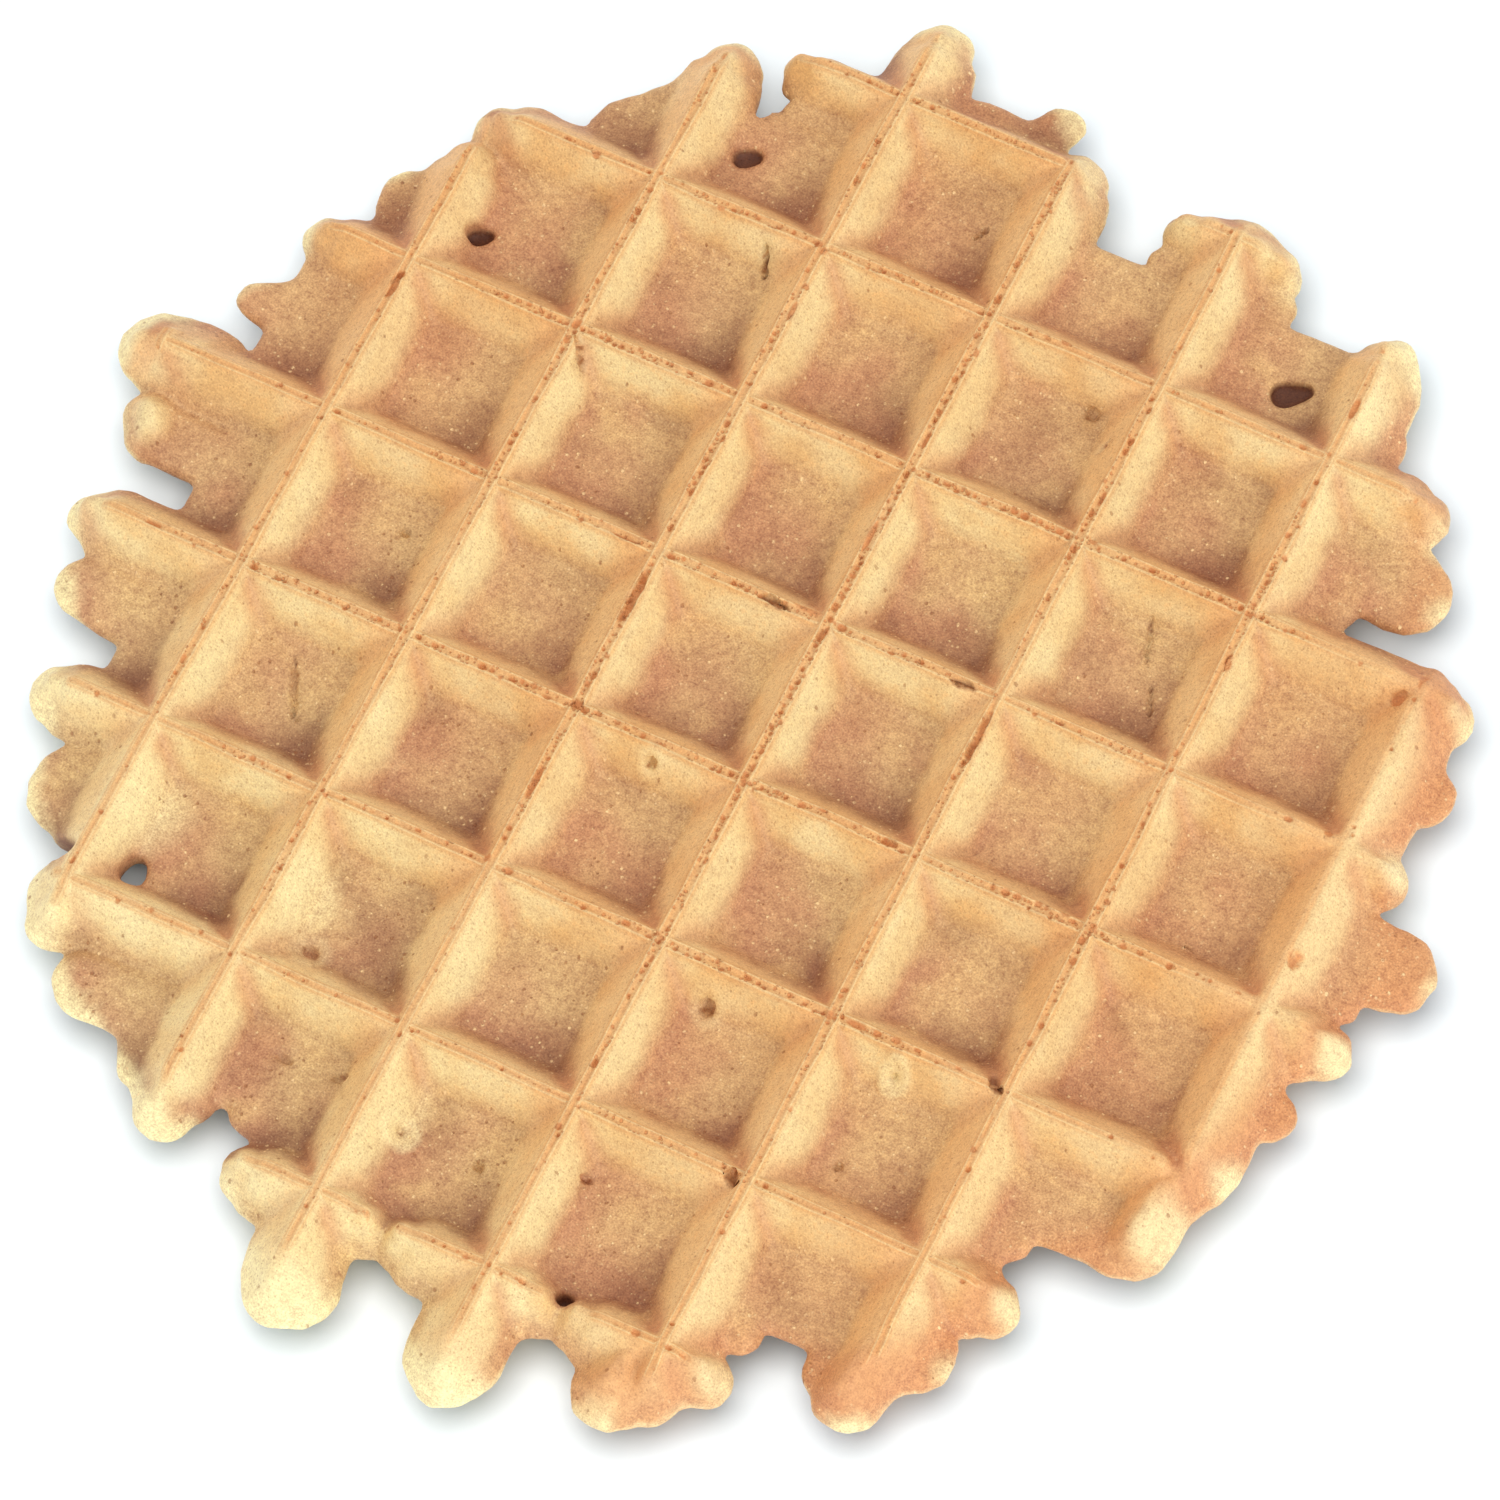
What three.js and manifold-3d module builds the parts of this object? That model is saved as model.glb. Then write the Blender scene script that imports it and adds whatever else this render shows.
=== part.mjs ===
import * as THREE from 'three';
import { mergeVertices } from 'three/addons/utils/BufferGeometryUtils.js';
import Module from 'manifold-3d';

// A plain round waffle, one solid: a square grid of ridges on both faces, pockets between
// them, and a ragged rim where the batter stopped. Millimetres, +Z up. The ridges run along
// X and Y, and the waffle lies on the crests of its lower face.

// Driving dimensions
const pitch = 20; // from one ridge to the next
const thickness = 13.2; // from the lower crests to the upper crests
const crestWidth = 1; // flat top of a ridge
const columnWidth = 10.2; // a ridge along Y, half-way up, where it is widest
const rowWidth = 9; // a ridge along X, likewise
const rowDrop = 0.25; // the ridges along X stand this much lower at each face
const ridgeRim = 0.8; // upright edge of a ridge where its two slopes meet
const tipLength = 1.6; // a ridge's tip runs this far past its full-width body
const tipWidth = 0.72; // width of a tip, as a share of its ridge
const tipHeight = 0.8; // height of a tip, as a share of its ridge
const webThickness = 2.4; // floor between an upper and a lower pocket
const webRounding = 0.8; // rounded rim of the web
const pitSkin = 0.9; // web left below a pit
const arcSteps = 3; // half the facets round one end of a strip
const cutHeight = 2 * thickness; // a hole is cut well past both faces
const weldGap = 0.02; // corners closer than this become one
const crustColour = 0xdca664;

// Ridges along Y, each on its grid line, with the two tips that the batter reached
const columns = [
  { line: -3, from: -46.6, to: 58 },
  { line: -2, from: -60.8, to: 80.6 },
  { line: -1, from: -74, to: 92.6 },
  { line: 0, from: -74.6, to: 84.2 },
  { line: 1, from: -67, to: 85 },
  { line: 2, from: -54.5, to: 78.6 },
  { line: 3, from: -24, to: 44.6 },
];

// Ridges along X. The top and bottom rows are broken into shorter runs
const rows = [
  { line: 4, from: -35.2, to: 3.8, width: 7.4 },
  { line: 4, from: 11.3, to: 27.6, width: 7.4 },
  { line: 3, from: -62.6, to: 54 },
  { line: 2, from: -73.6, to: 66.2 },
  { line: 1, from: -85.6, to: 67.5 },
  { line: 0, from: -81.6, to: 70.2 },
  { line: -1, from: -75.6, to: 63.5 },
  { line: -2, from: -64.8, to: 50.9 },
  { line: -3, from: -31.8, to: -11.4 },
  { line: -3, from: -13.4, to: 9 },
  { line: -3, from: 7, to: 27.4 },
];

// Web that fills the pockets, band by band from the top
const sheets = [
  { x: [-20, 0], y: [60, 82] },
  { x: [-40, 40], y: [60, 75] },
  { x: [-60, 40], y: [40, 60] },
  { x: [-72.2, 60], y: [20, 40] },
  { x: [-70.4, 60], y: [0, 20] },
  { x: [-69, 60], y: [-20, 0] },
  { x: [-60, 46.8], y: [-40, -20] },
  { x: [-45, -20], y: [-54.5, -40] },
  { x: [-20, 20], y: [-58.5, -40] },
  { x: [20, 38], y: [-52.4, -40] },
];

// Tongues of web that ran past the pockets, each a tapered strip with round ends
const tongues = [
  { from: [-13, 82], to: [-9, 82], r: [4, 4] },
  { from: [-5.5, 84], to: [-3.8, 87], r: [2.8, 2.5] },
  { from: [-31.6, 75.9], to: [-24, 75.9], r: [1.3, 1.4] },
  { from: [-42, 72], to: [-47, 65], r: [3.6, 4.6] },
  { from: [-60, 48], to: [-64.6, 48], r: [4.4, 4.4] },
  { from: [-65, 32], to: [-74.7, 30.6], r: [5.5, 2.4] },
  { from: [-70, 11.7], to: [-77.2, 11.8], r: [3.6, 3.5] },
  { from: [-68, -8.2], to: [-75.6, -7.9], r: [4, 3.6] },
  { from: [-60, -28], to: [-65.2, -29.2], r: [5.7, 5.7] },
  { from: [-45, -48], to: [-54.6, -48.4], r: [4, 3.6] },
  { from: [-46, -50], to: [-45, -55], r: [3, 1.6] },
  { from: [-32.4, -54.6], to: [-25, -55.4], r: [1.4, 2] },
  { from: [24, -50], to: [25.6, -53.8], r: [3, 2.2] },
  { from: [35.6, -50], to: [35.4, -54], r: [3, 2.4] },
  { from: [40, -48], to: [43.3, -47.9], r: [4.4, 4.2] },
  { from: [44, -34.4], to: [47.4, -33], r: [2.4, 1.4] },
  { from: [44, -27.8], to: [57.2, -26.9], r: [4.2, 4.9] },
  { from: [62, -16.6], to: [63.4, -16.6], r: [2, 2] },
  { from: [60, -8.6], to: [65, -8.6], r: [3.4, 3] },
  { from: [64, 5.6], to: [67, 5.4], r: [2, 1.6] },
  { from: [60, 11.6], to: [69.8, 11.5], r: [5, 4.9] },
  { from: [60, 31], to: [64.3, 31], r: [4, 3.6] },
  { from: [41, 47], to: [47.4, 46.4], r: [2, 2] },
  { from: [42, 53.5], to: [53, 51.9], r: [5.4, 5.2] },
  { from: [43, 66], to: [44, 66.4], r: [3, 2.4] },
  { from: [25, 77], to: [27, 76.6], r: [2, 1.8] },
  { from: [14, 77], to: [12.8, 76.4], r: [2, 1.8] },
];

// Swollen lobes that stand off the grid lines
const lobes = [
  { from: [-78.2, 13], to: [-77.4, 11.4], width: 6.6, height: 8 },
  { from: [-76, 20.8], to: [-80.8, 20.8], width: 10.2, height: 11 },
  { from: [-19.6, -64], to: [-19, -68.4], width: 10, height: 11 },
  { from: [-0.6, -64], to: [-0.4, -69], width: 10.2, height: 11 },
  { from: [16.8, -62], to: [16.3, -65.2], width: 9, height: 10 },
  { from: [39.4, -48], to: [38.6, -55], width: 7.6, height: 11 },
  { from: [58.8, -22], to: [58.3, -27.2], width: 8, height: 11 },
];

// Two notches in the rim and a hole right through the web
const cuts = [
  { from: [-68, -37.4], to: [-61.8, -36.5], r: [1.9, 1.2] },
  { from: [-35.2, 79], to: [-34.7, 74.2], r: [1, 0.9] },
  { from: [-55.2, -35.5], to: [-55.2, -34.1], r: [1.4, 0.9] },
];

// Burst bubbles: pits in the upper face that leave a thin skin of the web
const pits = [
  { from: [-56.2, 47.2], to: [-55, 48], r: [1.1, 0.8] },
  { from: [-34, 68.2], to: [-32.9, 68.9], r: [1.4, 1.2] },
  { from: [31.4, 67.1], to: [33.7, 68.6], r: [1.5, 0.7] },
  { from: [7.6, -58.8], to: [7.9, -58.6], r: [0.9, 0.9] },
];

// Hollow under the rim, where light gets in below a hole
const hollows = [
  { from: [-66, -37.4], to: [-56, -34.4], r: [2.4, 2.4] },
];

const wasm = await Module();
wasm.setup();

function toSolid(geometry) {
  geometry.deleteAttribute('normal');
  geometry.deleteAttribute('uv');
  const welded = mergeVertices(geometry);
  return new wasm.Manifold(new wasm.Mesh({
    numProp: 3,
    vertProperties: new Float32Array(welded.attributes.position.array),
    triVerts: new Uint32Array(welded.index.array),
  }));
}

// Strip of two circles and the straight lines that touch both
function stripOutline({ from, to, r: [startRadius, endRadius] }) {
  const along = new THREE.Vector2(to[0] - from[0], to[1] - from[1]);
  const heading = along.angle();
  const lean = Math.acos((startRadius - endRadius) / along.length());
  return new THREE.Shape()
    .absarc(from[0], from[1], startRadius, heading + lean, heading + 2 * Math.PI - lean)
    .absarc(to[0], to[1], endRadius, heading - lean, heading + lean);
}

// Sheet with straight sides
function sheetOutline({ x: [left, right], y: [low, high] }) {
  return new THREE.Shape().moveTo(left, low).lineTo(right, low).lineTo(right, high).lineTo(left, high);
}

// Outline raised evenly about the mid-plane. Its edge widens by `spread` over `slope` of height
function raised(outline, height, { slope, spread, inset = 0 }) {
  const depth = height - 2 * slope;
  const geometry = new THREE.ExtrudeGeometry(outline, {
    depth,
    bevelEnabled: slope > 0,
    bevelThickness: slope,
    bevelSize: spread,
    bevelOffset: -inset,
    bevelSegments: 1,
    curveSegments: arcSteps,
  });
  geometry.translate(0, 0, -depth / 2);
  return toSolid(geometry);
}

// Ridge between two nose centres: a narrow crest on each face, sloping out to its full width
function ridge({ from, to, width, height }) {
  const crest = crestWidth / 2;
  const slope = (height - ridgeRim) / 2;
  return raised(stripOutline({ from, to, r: [crest, crest] }), height, { slope, spread: width / 2 - crest });
}

// Ridge along one grid line, from tip to tip. `place` turns a distance along it into a point
function gridRidge(from, to, width, height, place) {
  const nose = width / 2 + tipLength;
  const tipNose = (width * tipWidth) / 2;
  const body = ridge({ from: place(from + nose), to: place(to - nose), width, height });
  const tips = ridge({
    from: place(from + tipNose),
    to: place(to - tipNose),
    width: width * tipWidth,
    height: height * tipHeight,
  });
  return body.add(tips);
}

function columnRidge({ line, from, to }) {
  return gridRidge(from, to, columnWidth, thickness, (y) => [line * pitch, y]);
}

function rowRidge({ line, from, to, width = rowWidth }) {
  return gridRidge(from, to, width, thickness - 2 * rowDrop, (x) => [x, line * pitch]);
}

function web(outline) {
  return raised(outline, webThickness, { slope: webRounding, spread: webRounding, inset: webRounding });
}

function cut(strip) {
  return raised(stripOutline(strip), cutHeight, { slope: 0, spread: 0 });
}

// Cut from above that leaves a skin at the lower face of the web
function pit(strip) {
  return cut(strip).translate([0, 0, pitSkin + (cutHeight - webThickness) / 2]);
}

// Cut from below that stops at the lower face of the web
function hollow(strip) {
  return cut(strip).translate([0, 0, -(webThickness + cutHeight) / 2]);
}

function waffleSolid() {
  const pieces = [
    ...columns.map(columnRidge),
    ...rows.map(rowRidge),
    ...sheets.map((sheet) => web(sheetOutline(sheet))),
    ...tongues.map((tongue) => web(stripOutline(tongue))),
    ...lobes.map(ridge),
  ];
  const body = pieces.reduce((whole, piece) => whole.add(piece));
  const gaps = [...cuts.map(cut), ...pits.map(pit), ...hollows.map(hollow)];
  return gaps.reduce((whole, gap) => whole.subtract(gap), body);
}

// Close corners welded into one, without the slivers that lay between them
function weld(geometry) {
  const welded = mergeVertices(geometry, weldGap);
  const corners = Array.from(welded.index.array);
  const kept = [];
  for (let i = 0; i < corners.length; i += 3) {
    const triangle = corners.slice(i, i + 3);
    if (new Set(triangle).size === 3) kept.push(...triangle);
  }
  welded.setIndex(kept);
  return welded;
}

// The finished solid, with the origin below its middle, on the surface it lies on
function waffleGeometry() {
  const { vertProperties, triVerts } = waffleSolid().getMesh();
  const raw = new THREE.BufferGeometry();
  raw.setAttribute('position', new THREE.BufferAttribute(vertProperties, 3));
  raw.setIndex(new THREE.BufferAttribute(triVerts, 1));
  const geometry = weld(raw);
  geometry.computeBoundingBox();
  const { min, max } = geometry.boundingBox;
  geometry.translate(-(min.x + max.x) / 2, -(min.y + max.y) / 2, -min.z);
  geometry.computeVertexNormals();
  return geometry;
}

const waffle = new THREE.Mesh(
  waffleGeometry(),
  new THREE.MeshStandardMaterial({ color: crustColour, roughness: 0.75, metalness: 0 }),
);
waffle.name = 'waffle';

const part = new THREE.Group();
part.add(waffle);

export default part;
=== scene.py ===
import math
import bmesh
import bpy
import numpy as np
from mathutils import Matrix, Vector


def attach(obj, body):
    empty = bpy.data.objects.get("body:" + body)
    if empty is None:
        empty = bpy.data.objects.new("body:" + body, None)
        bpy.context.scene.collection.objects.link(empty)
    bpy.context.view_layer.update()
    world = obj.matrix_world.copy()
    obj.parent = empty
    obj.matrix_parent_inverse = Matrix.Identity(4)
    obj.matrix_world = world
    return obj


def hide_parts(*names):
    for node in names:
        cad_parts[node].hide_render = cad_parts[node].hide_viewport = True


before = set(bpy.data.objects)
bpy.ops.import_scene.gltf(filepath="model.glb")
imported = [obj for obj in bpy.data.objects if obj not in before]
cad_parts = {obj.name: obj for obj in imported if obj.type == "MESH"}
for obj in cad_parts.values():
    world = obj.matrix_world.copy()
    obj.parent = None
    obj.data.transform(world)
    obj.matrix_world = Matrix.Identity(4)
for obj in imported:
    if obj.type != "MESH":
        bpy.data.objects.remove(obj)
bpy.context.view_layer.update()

scene = bpy.context.scene
print("frame loaded:", sorted(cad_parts))


# The waffle's grid, in mm: ridges stand on x = 20 n and y = 20 m, z = 0 is the table
grid = {
    "scale": 1000,  # mm to the frame's metre
    "pitch": 20.0,
    "offset": (5.681, -9.0),  # where ridge crossing 0, 0 stands in the frame
    "middle": 6.6,  # half-way up, inside the web
    "web": 1.2,  # half the web's thickness
    "crest": 6.6,  # from the middle to a crest
}

# Ridges that carry pores: line number, then the stretch that has a clear crest, mm
columnRuns = [
    (-3, -44, 56), (-2, -57, 76), (-1, -68, 84), (0, -68, 82), (1, -62, 78), (2, -50, 74), (3, -20, 43),
]
rowRuns = [
    (4, -32, 4), (4, 12, 26), (3, -60, 50), (2, -70, 64), (1, -76, 64), (0, -77, 66),
    (-1, -71, 60), (-2, -60, 47), (-3, -27, -14), (-3, -10, 7), (-3, 10, 23),
]


def toGrid():
    x, y = grid["offset"]
    return Matrix.Translation((-x, -y, 0)) @ Matrix.Scale(grid["scale"], 4)


def readPoints(mesh):
    flat = np.empty(len(mesh.vertices) * 3, np.float32)
    mesh.vertices.foreach_get("co", flat)
    return flat.reshape(-1, 3).astype(np.float64)


def readNormals(mesh):
    flat = np.empty(len(mesh.vertices) * 3, np.float32)
    mesh.vertex_normals.foreach_get("vector", flat)
    return flat.reshape(-1, 3).astype(np.float64)


def readEdges(mesh):
    flat = np.empty(len(mesh.edges) * 2, np.int32)
    mesh.edges.foreach_get("vertices", flat)
    return flat.reshape(-1, 2)


def writePoints(mesh, points):
    mesh.vertices.foreach_set("co", points.astype(np.float32).ravel())
    mesh.update()


def applyModifiers(piece):
    graph = bpy.context.evaluated_depsgraph_get()
    shaped = bpy.data.meshes.new_from_object(piece.evaluated_get(graph))
    piece.modifiers.clear()
    old = piece.data
    piece.data = shaped
    bpy.data.meshes.remove(old)


def ramp(low, high, value):
    t = np.clip((value - low) / (high - low), 0, 1)
    return t * t * (3 - 2 * t)


noiseTurn = np.array(Matrix.Rotation(0.7, 3, Vector((0.4, 0.7, 0.6))))  # off the grid's own lines
noiseCells = 32  # along each side, before the noise repeats


def cloud(points, size, seed):  # soft noise from -1 to 1, lumps about `size` mm across
    lattice = np.random.default_rng(seed).uniform(-1, 1, (noiseCells, noiseCells, noiseCells))
    turned = points @ noiseTurn.T / size
    base = np.floor(turned).astype(int)
    part = turned - base
    part = part * part * (3 - 2 * part)
    total = np.zeros(len(points))
    for corner in np.ndindex(2, 2, 2):
        share = np.ones(len(points))
        for axis in range(3):
            share *= part[:, axis] if corner[axis] else 1 - part[:, axis]
        x, y, z = ((base + np.array(corner)) % noiseCells).T
        total += share * lattice[x, y, z]
    return total


def relax(points, edges, weight, rounds):  # evens the surface out, more where weight is high
    a, b = edges.T
    count = len(points)
    ways = np.bincount(a, minlength=count) + np.bincount(b, minlength=count)
    for _ in range(rounds):
        mean = np.empty_like(points)
        for axis in range(3):
            total = np.bincount(a, points[b, axis], count) + np.bincount(b, points[a, axis], count)
            mean[:, axis] = total / ways
        points = points + weight[:, None] * (mean - points)
    return points


def offLine(values):  # distance to the nearest grid line, with sign
    return values - grid["pitch"] * np.round(values / grid["pitch"])


def levels(points):  # 0 on a pocket floor, 1 on a crest, on either face
    rise = np.abs(points[:, 2] - grid["middle"]) - grid["web"]
    return np.clip(rise / (grid["crest"] - grid["web"]), 0, 1)


# The map that tells the rim from the inside, mm
rimSetup = {
    "cell": 0.5,
    "half": 120,  # half the map's width
    "reach": 6,  # how far inward the rim is felt
}


def rimMap(points):  # 0 well inside the waffle, rising to 1 at the tips of the lobes
    size = int(2 * rimSetup["half"] / rimSetup["cell"])
    spots = ((points[:, :2] + rimSetup["half"]) / rimSetup["cell"]).astype(int)
    filled = np.zeros((size, size))
    filled[spots[:, 0], spots[:, 1]] = 1
    reach = int(rimSetup["reach"] / rimSetup["cell"])
    for _ in range(2):
        for axis in (0, 1):
            ends = [(reach + 1, reach) if a == axis else (0, 0) for a in (0, 1)]
            run = np.cumsum(np.pad(filled, ends), axis)
            ahead = np.take(run, np.arange(2 * reach + 1, 2 * reach + 1 + size), axis)
            behind = np.take(run, np.arange(size), axis)
            filled = (ahead - behind) / (2 * reach + 1)
    return 1 - filled


def rimAt(points, table):
    spots = (points[:, :2] + rimSetup["half"]) / rimSetup["cell"]
    base = np.floor(spots).astype(int)
    fx, fy = (spots - base).T
    x, y = base.T
    low = table[x, y] * (1 - fx) + table[x + 1, y] * fx
    high = table[x, y + 1] * (1 - fx) + table[x + 1, y + 1] * fx
    return low * (1 - fy) + high * fy


# Camera, from the photo's own perspective
cameraSetup = {
    "target": (0.004681, -0.0058, 0.0132),
    "azimuth": 31.62,
    "elevation": 66.58,
    "roll": -5.98,
    "distance": 0.9182,
    "lens": 209.13,
    "sensor": 36,
    "clip": (0.01, 20),
}


def makeCamera():
    az, el, roll = (math.radians(cameraSetup[k]) for k in ("azimuth", "elevation", "roll"))
    toward = Vector((math.sin(az) * math.cos(el), -math.cos(az) * math.cos(el), math.sin(el)))
    right = (-toward).cross(Vector((0, 0, 1))).normalized()
    up = right.cross(-toward)
    side = right * math.cos(roll) + up * math.sin(roll)
    top = up * math.cos(roll) - right * math.sin(roll)
    data = bpy.data.cameras.new("photo_camera")
    data.lens = cameraSetup["lens"]
    data.sensor_width = cameraSetup["sensor"]
    data.clip_start, data.clip_end = cameraSetup["clip"]
    camera = bpy.data.objects.new("photo_camera", data)
    place = Vector(cameraSetup["target"]) + toward * cameraSetup["distance"]
    camera.matrix_world = Matrix.Translation(place) @ Matrix((side, top, toward)).transposed().to_4x4()
    scene.collection.objects.link(camera)
    scene.camera = camera


makeCamera()
print("camera placed")


# The baked crust, made from the solid: evened, softened, then pitted and cracked
crust = {
    "voxel": 0.36,
    "softRounds": 7,
    "rimRounds": 5,
    "rimFade": (0.2, 0.55),  # on the rim map
    "floorFade": (0.1, 0.8),  # from the softest floors to the firm crests, on the 0 to 1 height
    "evening": (0.03, 0.5),  # how much one round evens the crests, and how much more the floors
    "lump": (9.0, 0.2),  # size and height of the slow undulation, mm
    "dent": (4.0, 0.07),
    "dimple": (2.0, 0.06),
    "rimLump": (4.5, 0.35),
    "frill": (2.0, 0.22),
    "wrinkle": (1.6, 0.16),  # on the web of the rim
    "fineBand": 1.1,  # mm either side of a ridge's line that get finer faces
    "fineFrom": 12.0,  # mm over the table
    "triangles": 196000,
    "thinning": 0.035,  # how strongly the thinning keeps to the order below
    "ease": (0.01, 0.7, 1.0),  # crests are thinned last, then walls, and the underside first
    "crestFrom": 12.2,  # mm over the table
    "underSpare": 0.1,  # mm over the web's lower face that still count as the underside
    "seed": 7,
}


def evenCrust(node):
    raw = node.data.copy()
    raw.transform(toGrid())
    piece = bpy.data.objects.new("waffle_crust", raw)
    scene.collection.objects.link(piece)
    even = piece.modifiers.new("even", "REMESH")
    even.mode = "VOXEL"
    even.voxel_size = crust["voxel"]
    applyModifiers(piece)
    return piece


def softenCrust(mesh):
    points = readPoints(mesh)
    edges = readEdges(mesh)
    table = rimMap(points)
    rim = ramp(*crust["rimFade"], rimAt(points, table))
    low = 1 - ramp(*crust["floorFade"], levels(points))
    least, more = crust["evening"]
    points = relax(points, edges, least + more * np.maximum(low, 0.4 * rim), crust["softRounds"])
    points = relax(points, edges, more * rim, crust["rimRounds"])
    writePoints(mesh, points)
    return table


def undulate(mesh, table):
    points = readPoints(mesh)
    normals = readNormals(mesh)
    rim = ramp(*crust["rimFade"], rimAt(points, table))
    seed = crust["seed"]
    push = np.zeros(len(points))
    web = rim * ramp(0.5, 0.1, levels(points))
    layers = (("lump", 1), ("dent", 1), ("dimple", 1), ("rimLump", rim), ("frill", rim), ("wrinkle", web))
    for k, (name, share) in enumerate(layers):
        size, height = crust[name]
        push += height * share * cloud(points, size, seed + k)
    writePoints(mesh, points + normals * push[:, None])


def refineCrests(mesh):  # finer faces along the upper crests, where the pores are
    shape = bmesh.new()
    shape.from_mesh(mesh)
    points = readPoints(mesh)
    near = np.minimum(np.abs(offLine(points[:, 0])), np.abs(offLine(points[:, 1]))) < crust["fineBand"]
    chosen = near & (points[:, 2] > crust["fineFrom"])
    shape.verts.ensure_lookup_table()
    edges = [e for e in shape.edges if chosen[e.verts[0].index] and chosen[e.verts[1].index]]
    bmesh.ops.subdivide_edges(shape, edges=edges, cuts=1, use_grid_fill=True)
    shape.to_mesh(mesh)
    shape.free()


# How torn the crests are: much in the middle, hardly at the rim, right and lower left
tearSetup = {
    "middle": (-2, 14),
    "fade": (50, 90),  # mm from there
    "rightward": 0.4,  # how much sooner it fades to the right
    "lowLeft": 0.4,
    "lowLeftFade": (0, -60),  # of x + y
    "patch": (9.0, 0.8, 0.75),  # size, mean and swing of the torn stretches
}


def tearAt(points):
    x, y = points[:, 0], points[:, 1]
    middleX, middleY = tearSetup["middle"]
    away = np.hypot(x - middleX, y - middleY) + tearSetup["rightward"] * np.maximum(0, x)
    size, mean, swing = tearSetup["patch"]
    patchy = mean + swing * cloud(points * (1, 1, 0), size, crust["seed"] + 20)
    patchy -= ramp(*tearSetup["fade"], away)
    patchy -= tearSetup["lowLeft"] * ramp(*tearSetup["lowLeftFade"], x + y)
    return np.clip(patchy, 0, 1)


crestSetup = {
    "half": (0.44, 0.6),  # half the width of a crest, mm, where it is whole and where it is torn
    "wobble": (5.0, 0.12),  # size and swing of its wander, mm
    "band": (1.7, 0.9),  # mm from its line, where the sharp part of a ridge ends and where it is full
    "sharpFrom": (4.3, 5.2),  # height from the web's middle, where it starts and where it is full
    "whole": (0.5, 0.4),  # how sharp a whole crest is, and how torn the sharpest ones are
    "columnSlope": 1.35,  # fall of the wall beside a crest, mm for each mm
    "rowSlope": 1.49,
    "rowDrop": 0.25,  # rows lie this much lower than columns, mm
    "lip": 0.1,  # height, mm
    "lipPlace": (0.1, 0.16),  # mm inside the crest's edge, and width
    "groove": 0.16,  # depth, mm
    "grooveFlat": 0.1,  # half the width of its bottom, mm
    "rough": ((1.2, 0.06), (6.0, 0.1)),  # size and height of its unevenness
    "rimFade": (0.24, 0.44),  # where crests turn soft, on the rim map
    "rightFade": (45, 58),  # and along the right edge, mm
    "rightSoft": 0.8,
}


# Distance from the nearest crest's middle, that crest's half width, fall from the top
def crestShape(points):
    whole, torn = crestSetup["half"]
    half = whole + (torn - whole) * tearAt(points)
    size, swing = crestSetup["wobble"]
    offX = np.abs(offLine(points[:, 0]) + swing * cloud(points, size, crust["seed"] + 5))
    offY = np.abs(offLine(points[:, 1]) + swing * cloud(points, size, crust["seed"] + 6))
    fallX = crestSetup["columnSlope"] * np.maximum(0, offX - half)
    fallY = crestSetup["rowDrop"] + crestSetup["rowSlope"] * np.maximum(0, offY - half)
    return np.where(fallX < fallY, offX, offY), half, np.minimum(fallX, fallY)


def crispShare(points, table):  # 1 inside the waffle, 0 on the soft ridges of the rim
    rim = ramp(*crestSetup["rimFade"], rimAt(points, table))
    return (1 - rim) * (1 - crestSetup["rightSoft"] * ramp(*crestSetup["rightFade"], points[:, 0]))


def crispCrests(mesh, table):  # gives the softened ridges their sharp-edged, slightly hollow crests back
    points = readPoints(mesh)
    face = np.sign(points[:, 2] - grid["middle"])
    rise = np.abs(points[:, 2] - grid["middle"])
    across, half, fall = crestShape(points)
    wanted = grid["crest"] - fall
    inward, width = crestSetup["lipPlace"]
    edge = (across - half + inward) / width
    wanted += crestSetup["lip"] * np.exp(-edge * edge)
    wanted -= crestSetup["groove"] * ramp(half - inward, crestSetup["grooveFlat"], across)
    for k, (size, height) in enumerate(crestSetup["rough"]):
        wanted += height * cloud(points, size, crust["seed"] + 8 + k)
    share = ramp(*crestSetup["band"], across) * ramp(*crestSetup["sharpFrom"], rise)
    least, torn = crestSetup["whole"]
    share *= least + (1 - least) * ramp(0, torn, tearAt(points))  # a whole crest stays rounder
    share *= crispShare(points, table)
    points[:, 2] += face * share * (wanted - rise)
    writePoints(mesh, points)


poreSetup = {
    "kinds": ((0.62, 0.2, 0.36), (0.35, 0.34, 0.62), (0.03, 1.0, 2.4)),  # share, half length from and to
    "gap": (0.35, 9.0),  # mean bare stretch between pores, where the crest is torn and where it is whole
    "width": (0.22, 0.5),
    "stray": 0.22,
    "depth": (0.14, 0.36),
    "from": 4.6,  # height from the web's middle, mm
    "reach": 1.2,  # mm from a ridge's line
    "bowl": (1.0, 0.5),  # rim and flat bottom of a pore
}


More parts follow.
